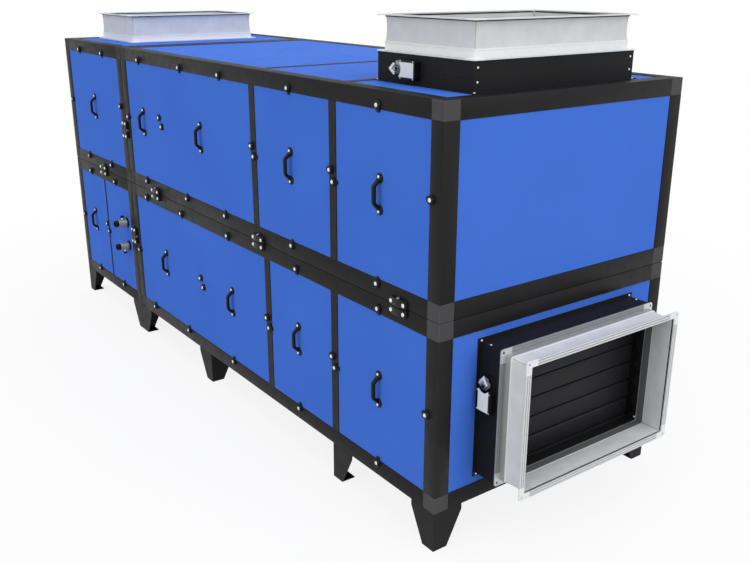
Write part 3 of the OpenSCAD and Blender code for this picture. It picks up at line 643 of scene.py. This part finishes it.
def sleeve(name, node, axis, seed):
    low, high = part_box(node)
    mid = (low + high) / 2
    span = high - low
    flow, u_way, v_way = duct_ways[axis]
    length = span[axis]
    half_u = abs(span.dot(u_way)) / 2 - cloth_in
    half_v = abs(span.dot(v_way)) / 2 - cloth_in
    outline = rounded([(-half_u, -half_v), (half_u, -half_v), (half_u, half_v), (-half_u, half_v)],
                      cloth_corner, corner_steps)
    ring, fold_shade = [], []
    for i, (a, b) in enumerate(outline):
        c, d = outline[(i + 1) % len(outline)]
        long = math.hypot(c - a, d - b)
        count = max(1, round(long / stitch))
        ring += [(a + (c - a) * k / count, b + (d - b) * k / count) for k in range(count)]
        # Painted shade: faces in the middle of each corner take the darker cloth
        fold_shade += [i % (corner_steps + 1) in fold_shade_steps] * count
    ring = np.array(ring)
    after = np.roll(ring, -1, 0) - ring
    walk = np.concatenate([[0], np.cumsum(np.hypot(after[:, 0], after[:, 1]))])
    tangent = np.roll(ring, -1, 0) - np.roll(ring, 1, 0)
    tangent /= np.linalg.norm(tangent, axis=1)[:, None]
    outward = np.stack([tangent[:, 1], -tangent[:, 0]], 1)
    rows = max(least_rows, round(length / row_h))
    bm = bmesh.new()
    layer = bm.loops.layers.uv.new("UVMap")
    grid = []
    for r in range(rows + 1):
        s = r / rows
        hold = math.sin(math.pi * s)
        line = []
        for i, (a, b) in enumerate(ring):
            near = math.hypot(half_u - abs(a), half_v - abs(b))
            crease = math.exp(-(near / pucker_w) ** 2)
            beside = math.exp(-((near - swell_at) / swell_w) ** 2)
            wave = noise.noise(Vector((walk[i] * wave_rate, s * 1.6, seed)))
            fine = noise.noise(Vector((walk[i] * fine_rate, s * 3.0, seed + 7.3)))
            inward = (waist * hold ** 0.6 + pucker * crease * hold - swell * beside * hold
                      + wave_depth * wave * hold ** 0.7 + fine_depth * fine * hold ** 0.6) * mm
            slack = slack_depth * noise.noise(Vector((walk[i] * slack_rate, 3.1, seed + 2.0))) * hold * mm
            point = (mid + u_way * (a - outward[i][0] * inward) + v_way * (b - outward[i][1] * inward)
                     + flow * ((s - 0.5) * length + slack))
            line.append(bm.verts.new(point))
        grid.append(line)
    n = len(ring)
    for r in range(rows):
        for i in range(n):
            j = (i + 1) % n
            face = bm.faces.new((grid[r][i], grid[r][j], grid[r + 1][j], grid[r + 1][i]))
            face.smooth = True
            face.material_index = int(fold_shade[i])
            for loop, (k, q) in zip(face.loops, ((i, r), (i + 1, r), (i + 1, r + 1), (i, r + 1))):
                loop[layer].uv = (walk[k], q / rows * length)
    mesh = bpy.data.meshes.new(name)
    bmesh.ops.recalc_face_normals(bm, faces=bm.faces[:])
    bm.to_mesh(mesh)
    bm.free()
    mesh.materials.append(sleeve_cloth.made)
    mesh.materials.append(fold_shade_cloth.made)
    obj = bpy.data.objects.new(name, mesh)
    scene.collection.objects.link(obj)
    thick = obj.modifiers.new("Thickness", "SOLIDIFY")
    thick.thickness = cloth_t
    thick.offset = 0.0
    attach(obj, "unit")
    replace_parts(obj, node)


# Flange frames: ribbed rails, corner plates, a collar, its lock seam and a dark strip at the mouth that is
# painted shade
flange_w, flange_t, flange_corner = 22.0, 4.0, 46.0
flange_hole_r = 4.5
rail_top, groove_floor = 3.9, 2.4
flange_rail = [(0, 0), (flange_w, 0), (flange_w, rail_top)]
for groove in (17.5, 8.5):
    flange_rail += [(groove, rail_top), (groove - 0.5, groove_floor), (groove - 3.0, groove_floor),
                    (groove - 3.5, rail_top)]
flange_rail.append((0, rail_top))
# The groove floors take the dark dull steel: painted shade in the grooves
groove_sides = (4, 8)
flange_ell = rounded([(0, 0), (flange_corner, 0), (flange_corner, flange_w), (flange_w, flange_w),
                      (flange_w, flange_corner), (0, flange_corner)], [9, 1.5, 0, 1.5, 0, 1.5], 6)
flange_hole = [(flange_w / 2 + flange_hole_r * math.cos(math.radians(t)),
                flange_w / 2 + flange_hole_r * math.sin(math.radians(t))) for t in range(0, 360, 18)]
collar_section = [(0, -1.2), (30, -1.2), (30, 1.2), (0, 1.2)]
lock_seam = [(-4.0, -1.5), (1.5, -1.5), (2.2, -0.6), (2.2, 0.2), (1.4, 0.9), (-3.2, 0.9), (-4.0, 0.2)]
collar_edge = [(-1.5, 0.2), (1.6, 0.2), (1.6, 1.5), (-1.5, 1.5)]
# Painted shade: a dark strip along the flange's inner edge, where the cloth sits behind it
mouth_shade_strip = [(-4.5, 0.1), (-0.2, 0.1), (-0.2, 2.6), (-4.5, 2.6)]
connector_finishes = [galvanised, bright_plate, rubber, dull_steel, zinc_in_painted_shade, inner_grey]
plain_rail, bright, mouth_shade, groove_shade, painted_shade, inside = range(len(connector_finishes))


def connector(name, node, sleeve_node, axis):
    """The rail, corner plates and collar next to the end damper take darker finishes than elsewhere: painted
    shade.
    """
    low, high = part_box(node)
    cloth_low, cloth_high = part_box(sleeve_node)
    flow, u_way, v_way = duct_ways[axis]
    mid = (low + high) / 2
    u, v = ((high - low).dot(way) / 2 / mm for way in (u_way, v_way))
    shape = Shape()

    def level(height):
        return mid + flow * (height - mid[axis])

    def round_duct(height, half_u, half_v, corner, section):
        return looped(level(height), u_way, v_way, flow, half_u, half_v, corner, section)

    for height in (low[axis], high[axis] - flange_t * mm):
        at = axes(u_way, v_way, flow, level(height))
        # Painted shade: the end connector's base rail and corner plates are darker
        in_painted_shade = axis == 0 and height == low[axis]
        plain = painted_shade if in_painted_shade else plain_rail
        marks = [groove_shade if i in groove_sides else plain for i in range(len(flange_rail))]
        for k in range(4):
            long, off = (u, v) if k % 2 == 0 else (v, u)
            spin = at @ Matrix.Rotation(math.radians(90 * k), 4, "Z")
            reach = (long - flange_corner + 0.4) * mm
            strip = loft([[(x, (a - off) * mm, b * mm) for a, b in flange_rail] for x in (-reach, reach)])
            shape.put((*strip, marks + [plain, plain]), spin)
            place = spin @ Matrix.Translation((-long * mm, -off * mm, 0))
            shape.put(punched(flange_ell, [flange_hole], 0, flange_t), place,
                      plain_rail if in_painted_shade else bright)
    inner_u, inner_v = u - flange_w, v - flange_w
    ring = round_duct(low[axis], inner_u + 1.3, inner_v + 1.3, 3.0, collar_section)
    # Painted shade: the end connector's collar takes the darker zinc
    shell = painted_shade if axis == 0 else bright
    shape.put((*ring, [inside, shell, shell, shell] * (len(ring[1]) // 4)))
    cloth_u, cloth_v = ((cloth_high - cloth_low).dot(way) / 2 / mm for way in (u_way, v_way))
    shape.put(round_duct(cloth_low[axis], cloth_u, cloth_v, 8.0, lock_seam), finish=bright)
    shape.put(round_duct(cloth_low[axis], inner_u, inner_v, 3.0, collar_edge), finish=bright)
    shape.put(round_duct(cloth_high[axis], inner_u, inner_v, 3.0, mouth_shade_strip), finish=mouth_shade)
    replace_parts(shape.done(name, connector_finishes), node)


for place, axis, seed in (("end", 0, 1.5), ("top", 2, 4.5), ("far", 2, 8.5)):
    connector(f"{place}_connector_frame", f"{place}_connector_flanges", f"{place}_connector_sleeve", axis)
    sleeve(f"cloth_sleeve_{place}", f"{place}_connector_sleeve", axis, seed)


# Damper fittings: rivets up the corners and on the fixing lip, and a plug in each pivot's bore but the lead
# blade's on the −Y side
damper_half_s, damper_half_b = 232.0, 357.0
damper_lip = 12.0
rivet = [(3.6, -0.5), (3.6, 0.5), (3.1, 1.3), (2.0, 1.9), (0, 2.1)]
bore_plug = [(6.2, -4.0), (6.2, 0.1), (5.6, 0.5), (0, 0.5)]


def damper_fittings(name, base, flow, stack, blade, heights, inset):
    """base is the middle of the fixing face; flow, stack and blade are the damper's own axes."""
    shape = Shape()
    head = lathe(rivet, 20)
    cap = lathe(bore_plug, 28)

    def spot(s, b, up):
        return base + stack * (s * mm) + blade * (b * mm) + flow * (up * mm)

    for b in (-1, 1):
        for s in (-1, 1):
            out = stack * s
            for up in heights:
                place = spot(s * damper_half_s, b * (damper_half_b - inset), up)
                shape.put(head, axes(blade.cross(out), blade, out, place))
            place = spot(s * (damper_half_s + damper_lip / 3), b * (damper_half_b - 2), 3.0)
            shape.put(head, axes(blade.cross(flow), blade, flow, place))
        for i in range(1, blade_count + 1):
            if (i, b) != (lead_blade, -1):
                out = blade * b
                place = spot(blade_place(i), b * damper_half_b, pivot_depth)
                shape.put(cap, axes(out.cross(stack), out.cross(out.cross(stack)), out, place), 1)
    shape.done(name, [bright_metal_and_glint, damper_black])


end_low, end_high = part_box("end_damper_frame")
top_low, top_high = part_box("top_damper_frame")
end_base = Vector((end_low.x, (end_low.y + end_high.y) / 2, (end_low.z + end_high.z) / 2))
top_base = Vector(((top_low.x + top_high.x) / 2, (top_low.y + top_high.y) / 2, top_low.z))
damper_fittings("end_damper_fittings", end_base, X, Z, Y, (39.0,), 8.0)
damper_fittings("top_damper_fittings", top_base, Z, -X, Y, (32.0, 74.0), 16.0)

# Screws in the end damper's mouth, low on its side walls
mouth_half, screw_in, screw_down = 340, 5, 205
shape = Shape()
for side in (-1, 1):
    spot = Vector((end_high.x - screw_in * mm, end_base.y + side * mouth_half * mm,
                   end_base.z - screw_down * mm))
    shape.put(domed_screw(4.0, 2.4), axes(X, Z * side, -Y * side, spot))
shape.done("mouth_screws", [bright_metal_and_glint])

# Louvre blades: a flat section with lips that lap, on a pivot at each end, with a gear wheel
axis_x = end_base.x + pivot_depth * mm
blade_half, wheel_end = 335.0, 339.4
blade_side = [(5.0, -27.0), (5.0, 27.0), (2.7, 33.0), (2.7, 35.4), (0.9, 35.4), (0.6, 33.0)]
blade_section = rounded(blade_side + [(-a, -b) for a, b in blade_side],
                        [2.5, 2.5, 1.0, 0.5, 0.5, 0.6] * 2, 3)
tooth_count, root_r, tip_r = 24, 31.4, 34.7
tooth = ((0.0, root_r), (4.2, root_r), (6.2, tip_r), (11.0, tip_r), (13.0, root_r))
gear = [(r * math.sin(math.radians(360 / tooth_count * i + t)),
         r * math.cos(math.radians(360 / tooth_count * i + t))) for i in range(tooth_count) for t, r in tooth]
for i in range(1, blade_count + 1):
    low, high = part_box(f"blade_{i}")
    hub = Vector((axis_x, end_base.y, end_base.z + blade_place(i) * mm))
    shape = Shape()
    shape.put(swept([(hub + Y * (y * mm), X, Z) for y in (-blade_half, blade_half)], blade_section))
    for way, far in ((-Y, hub.y - low.y), (Y, high.y - hub.y)):
        at = axes(way.cross(Z), -Z, way, hub)
        end = far / mm
        shape.put(lathe([(6, blade_half - 1), (6, end - 0.8), (5.2, end), (0, end)], 28), at)
    wheel = axes(X, -Z, Y, hub)
    shape.put(plate(gear, blade_half + 1.0, wheel_end, 0.3), wheel, 1)
    shape.put(lathe([(12, blade_half - 0.5), (12, blade_half + 1.5)], 28), wheel, 1)
    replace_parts(shape.done(f"louvre_blade_{i}", [blade_black, moulded], f"louvre_{i}"),
                f"blade_{i}")

# Gaskets: a stop along the upper and the lower wall, and strips between the pivots on the front wall
stop = [(-5, 215.2), (5, 215.2), (4, 211.6), (2, 210.8), (-2, 210.8), (-4, 211.6)]
gasket = [(-6, 340.2), (6, 340.2), (5, 337.4), (3, 336.8), (-3, 336.8), (-5, 337.4)]
stop_half, pivot_gap = 339.8, 9.0
hub = Vector((axis_x, end_base.y, end_base.z))
shape = Shape()
for side in (-1, 1):
    shape.put(swept([(hub + Y * (y * mm), X, Z * side) for y in (-stop_half, stop_half)], stop))
for i in range(1, blade_count):
    ends = [hub + Z * ((blade_place(i) + z) * mm) for z in (pivot_gap, blade_pitch - pivot_gap)]
    shape.put(swept([(end, X, -Y) for end in ends], gasket))
shape.done("end_damper_gaskets", [rubber])

# Joint bars across the top, over the joints between its panels and just below the frame's top
bar_low, bar_high = 2.2 * mm, 0.9 * mm
shape = Shape()
front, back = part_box("frame_long_upper")
for post in islands("posts_front_upper"):
    left, right = post[:, 0].min(), post[:, 0].max()
    shape.put(bar(Vector((left, front.y + profile_w * mm, back.z - bar_low)),
                  Vector((right, back.y - profile_w * mm, back.z - bar_high)), 0.6))
shape.done("top_joint_bars", [frame_black, frame_edge_wear_highlight])

# Rubber in the joint between the pipe panel and the door beside it, and a strip over it
strip_over, strip_t = 3.5 * mm, 1.6 * mm
door_low, door_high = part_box("lower_left_door")
panel_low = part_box("pipe_panel")[0]
shape = Shape()
shape.put(bar(Vector((door_high.x + 0.1 * mm, door_low.y, door_low.z)),
              Vector((panel_low.x - 0.1 * mm, door_high.y - 2 * mm, door_high.z)), 0.6))
shape.put(bar(Vector((door_high.x - strip_over, door_low.y - strip_t, door_low.z)),
              Vector((panel_low.x + strip_over, door_low.y - 0.02 * mm, door_high.z)), 0.5))
shape.done("pipe_panel_joint", [rubber, rubber])

# Frame bars: twelve to a frame, each between two corner pieces, with eased edges
wide = profile_w * mm
for name in frames:
    low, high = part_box(name)
    shape = Shape()
    for axis in range(3):
        b, c = (axis + 1) % 3, (axis + 2) % 3
        for at_b in (low[b], high[b] - wide):
            for at_c in (low[c], high[c] - wide):
                start, end = Vector(low), Vector(high)
                start[axis] += wide
                end[axis] -= wide
                start[b], start[c] = at_b, at_c
                end[b], end[c] = at_b + wide, at_c + wide
                shape.put(bar(start, end, 1.0))
    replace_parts(shape.done(name.replace("frame", "bars"), [frame_black, frame_edge_wear_highlight]), name)


# Actuators: a bare label plate with a round head, and corner screws
label_r, label_half = 24.5, 23
label_start, label_end = 15, 88
label_screws_x, label_screws_y = (-26.5, 26.5), (22.0, 86.0)


def actuator_trim(name, shaft, away, across):
    """shaft is where the shaft meets the housing's outer face; away runs down the housing."""
    at = axes(across, away, across.cross(away), shaft)
    shape = Shape()
    arc = [(label_r * math.sin(math.radians(t)), label_r * math.cos(math.radians(t)))
           for t in range(-52, 53, 4)]
    foot = rounded([(label_half, label_start), (label_half, label_end),
                    (-label_half, label_end), (-label_half, label_start)], [0, 2.5, 2.5, 0])
    shape.put(plate(arc + foot, -1.0, 0.6, 0.3), at)
    for x in label_screws_x:
        for y in label_screws_y:
            shape.put(domed_screw(2.2, 1.2), at @ Matrix.Translation((x * mm, y * mm, 0)), 1)
    shape.done(name, [label_white, bright_metal_and_glint])


lead_offset = blade_place(lead_blade) * mm
actuator_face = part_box("end_damper_actuator")[0].y
end_shaft = Vector((axis_x, actuator_face, end_base.z + lead_offset))
top_shaft = Vector((top_base.x - lead_offset, actuator_face, top_base.z + pivot_depth * mm))
actuator_trim("end_actuator_trim", end_shaft, -Z, X)
actuator_trim("top_actuator_trim", top_shaft, X, Z)


# Shaft clamps: nuts on the studs, a hub ring, and a V saddle on a pedestal
clamp_r = 17
clamp_face, clamp_back = (corner.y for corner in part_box("shaft_clamp"))
saddle_low, saddle_high = 4.4, 7.4
saddle = rounded([(0, 33), (19.5, 8), (15, 2), (0, 20.5), (-15, 2), (-19.5, 8)],
                 [2, 2, 1.5, 0, 1.5, 2], 4)
pedestal = [(-11, 4), (11, 4), (9, 18), (-9, 18)]
hub_ring = [(9.5, -1), (9.5, 0.8), (10, 1.2), (12.4, 1.2), (12.9, 0.8), (12.9, -1)]


def clamp_nuts(name, shaft, way, away, body):
    """The studs point along way, and the bright saddle along away."""
    side = way.cross(Y)
    shape = Shape()
    face = axes(away.cross(-Y), away, -Y, Vector((shaft.x, clamp_face, shaft.z)))
    shape.put(plate(saddle, saddle_low, saddle_high, 0.6), face, 1)
    shape.put(plate(pedestal, -2.0, saddle_low + 0.4), face)
    shape.put(lathe(hub_ring, 32, True), face, 2)
    for s in (-1, 1):
        foot = shaft + side * (s * 0.68 * clamp_r * mm) + way * (clamp_r * 0.85 * mm)
        at = Matrix.Translation(foot) @ way.to_track_quat("Z", "Y").to_matrix().to_4x4()
        shape.put(lathe([(5.6, 0), (5.6, 1.0), (0, 1.0)], 24), at)
        shape.put(hexagon(9.6, 1.0, 6.0), at)
    shape.done(name, [clamp_zinc, bright_metal_and_glint, moulded], body)


clamp_y = (clamp_face + clamp_back) / 2
slant = (Z - X).normalized()
clamp_nuts("end_clamp_nuts", Vector((end_shaft.x, clamp_y, end_shaft.z)), slant, Z, "louvre_5")
clamp_nuts("top_clamp_nuts", Vector((top_shaft.x, clamp_y, top_shaft.z)), slant, -X, "unit")

# The top actuator's clamp is in the same node as its housing, so its steel is masked by radius
steel_to, black_from = 21.4 * mm, 21.6 * mm
mixed = black_moulding("actuator_and_clamp")
mixed.tint(mixed.distance(top_shaft, (1, 0, 1)), (0.46, 0.47, 0.48), None, steel_to, black_from)
dress(["top_damper_actuator"], mixed, None, 1.5, 3)


# Pipe stubs: a tube with a bead and a ribbed guard on its end
bore_r, pipe_r = 14, 19
guard_len, rib_count, rib_pitch = 19.4, 7, 2.4


def pipe(name, node):
    low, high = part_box(node)
    at = axes(X, -Z, Y, Vector(((low.x + high.x) / 2, low.y, (low.z + high.z) / 2)))
    deep = (high.y - low.y) / mm
    shape = Shape()
    tube = [(bore_r, 19), (18.6, 19), (pipe_r, 19.5), (pipe_r, deep), (bore_r, deep)]
    shape.put(lathe(tube, 48, True), at)
    shape.put(lathe([(18.8, 20), (19.7, 20.6), (19.7, 24.4), (18.8, 25)], 48, True), at, 1)
    guard = [(14.1, 0.8), (14.9, 0.05), (16.6, 0.05), (17.2, 0.8)]
    for k in range(rib_count):
        rise = k * rib_pitch
        guard += [(17.3, 2.2 + rise), (16.9, 3.0 + rise), (17.3, 3.8 + rise)]
    shape.put(lathe(guard + [(17.3, guard_len), (14.1, guard_len)], 48, True), at, 2)
    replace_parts(shape.done(name, [pipe_grey, thread_grey, moulded]), node)


pipe("pipe_stub_high", "pipe_high")
pipe("pipe_stub_low", "pipe_low")

# Knurled caps: the vent's on the upper pipe points up, and the drain's points down
knurl_count, knurl_r = 48, (9.1, 9.9)
knurl = [(knurl_r[i % 2] * math.cos(2 * math.pi * i / knurl_count),
          knurl_r[i % 2] * math.sin(2 * math.pi * i / knurl_count)) for i in range(knurl_count)]
shape = Shape()
for points in islands("pipe_plugs"):
    low, high = points.min(0), points.max(0)
    mid = Vector((low + high) / 2)
    upper = mid.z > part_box("pipe_high")[0].z
    start = Vector((mid.x, mid.y, low[2] if upper else high[2]))
    at = axes(X, Y if upper else -Y, Z if upper else -Z, start)
    tall = (high[2] - low[2]) / mm
    shape.put(lathe([(5.5, 0), (5.5, tall - 10.2)], 20), at, 1)
    shape.put(plate(knurl, tall - 10.5, tall - 1.5, 0.5), at)
    shape.put(lathe([(8.6, tall - 2), (8.6, tall - 0.6), (7.6, tall), (0, tall)], 32), at)
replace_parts(shape.done("pipe_caps", [moulded, bright_metal_and_glint]), "pipe_plugs")

# Stage: a pale floor that stays white far from the unit and keeps its shadow
far = 60.0
fade_from, fade_to, near_glow = 2.0, 4.0, 0.86
floor_mesh = bpy.data.meshes.new("floor")
floor_mesh.from_pydata([(-far, -far, 0), (far, -far, 0), (far, far, 0), (-far, far, 0)], [], [(0, 1, 2, 3)])
floor = bpy.data.objects.new("floor", floor_mesh)
scene.collection.objects.link(floor)
pale = Finish("floor_pale", specular=0.2)
rays = pale.add("ShaderNodeLightPath").outputs
pale.tint(pale.noise(1.5), (0.90, 0.90, 0.90), (0.92, 0.92, 0.92))
pale.tint(rays["Is Camera Ray"], (0.55, 0.55, 0.55), None, 0.0, 1.0)
pale.shader.inputs["Roughness"].default_value = 0.8
seen = pale.combine("MAXIMUM", rays["Is Camera Ray"], rays["Is Glossy Ray"])
fade = pale.spread(pale.distance((0, 0, 0), (1, 1, 0)), near_glow, 1.0, fade_from, fade_to)
glow = pale.add("ShaderNodeEmission")
mix = pale.add("ShaderNodeMixShader")
pale.link(pale.combine("MULTIPLY", fade, seen), mix.inputs["Fac"])
pale.link(pale.shader.outputs["BSDF"], mix.inputs[1])
pale.link(glow.outputs["Emission"], mix.inputs[2])
pale.link(mix.outputs["Shader"], pale.out.inputs["Surface"])
floor_mesh.materials.append(pale.made)

# World: white to the camera, nearly so to reflections, softer as a light
glossy_level, light_level = 0.72, 0.28
world = bpy.data.worlds.new("studio")
scene.world = world
world.use_nodes = True
studio = Graph(world.node_tree)
rays = studio.add("ShaderNodeLightPath").outputs
glint = studio.combine("MULTIPLY", rays["Is Glossy Ray"], glossy_level)
seen = studio.combine("MAXIMUM", rays["Is Camera Ray"], glint)
clear = studio.combine("MAXIMUM", seen, rays["Is Transmission Ray"])
level = studio.add("ShaderNodeMapRange")
level.inputs["To Min"].default_value = light_level
level.inputs["To Max"].default_value = 1.0
studio.link(clear, level.inputs["Value"])
sky = studio.add("ShaderNodeBackground")
sky.inputs["Color"].default_value = (1.0, 1.0, 1.0, 1.0)
studio.link(level.outputs["Result"], sky.inputs["Strength"])
studio.link(sky.outputs["Background"], studio.add("ShaderNodeOutputWorld").inputs["Surface"])


def sun(name, towards, level, angle, glints=True):
    lamp = bpy.data.lights.new(name, "SUN")
    lamp.energy = level * math.pi
    lamp.angle = math.radians(angle)
    obj = bpy.data.objects.new(name, lamp)
    obj.rotation_euler = Vector(towards).to_track_quat("Z", "Y").to_euler()
    obj.visible_glossy = glints
    scene.collection.objects.link(obj)


sun("overhead", (0.05, -0.05, 1.0), 0.33, 70)
sun("front_soft", (0.15, -1.0, 0.5), 0.33, 60)
sun("end_soft", (1.0, 0.30, 0.62), 0.40, 50)
sun("rear_soft", (-0.8, 1.0, 0.35), 0.20, 50, False)

# Camera at the photograph's place
eye = bpy.data.cameras.new("camera")
eye.lens = 42.52
eye.sensor_width = 36.0
eye.clip_end = 200.0
camera = bpy.data.objects.new("camera", eye)
cam_right = Vector((0.59104, 0.80664, 0.00212))
cam_up = Vector((-0.26292, 0.19015, 0.94589))
cam_forward = Vector((-0.76259, 0.55962, -0.32447))
camera.matrix_world = axes(cam_right, cam_up, -cam_forward, Vector((3.3611, -2.0979, 1.7716)))
scene.collection.objects.link(camera)
scene.camera = camera
scene.view_settings.view_transform = "Standard"
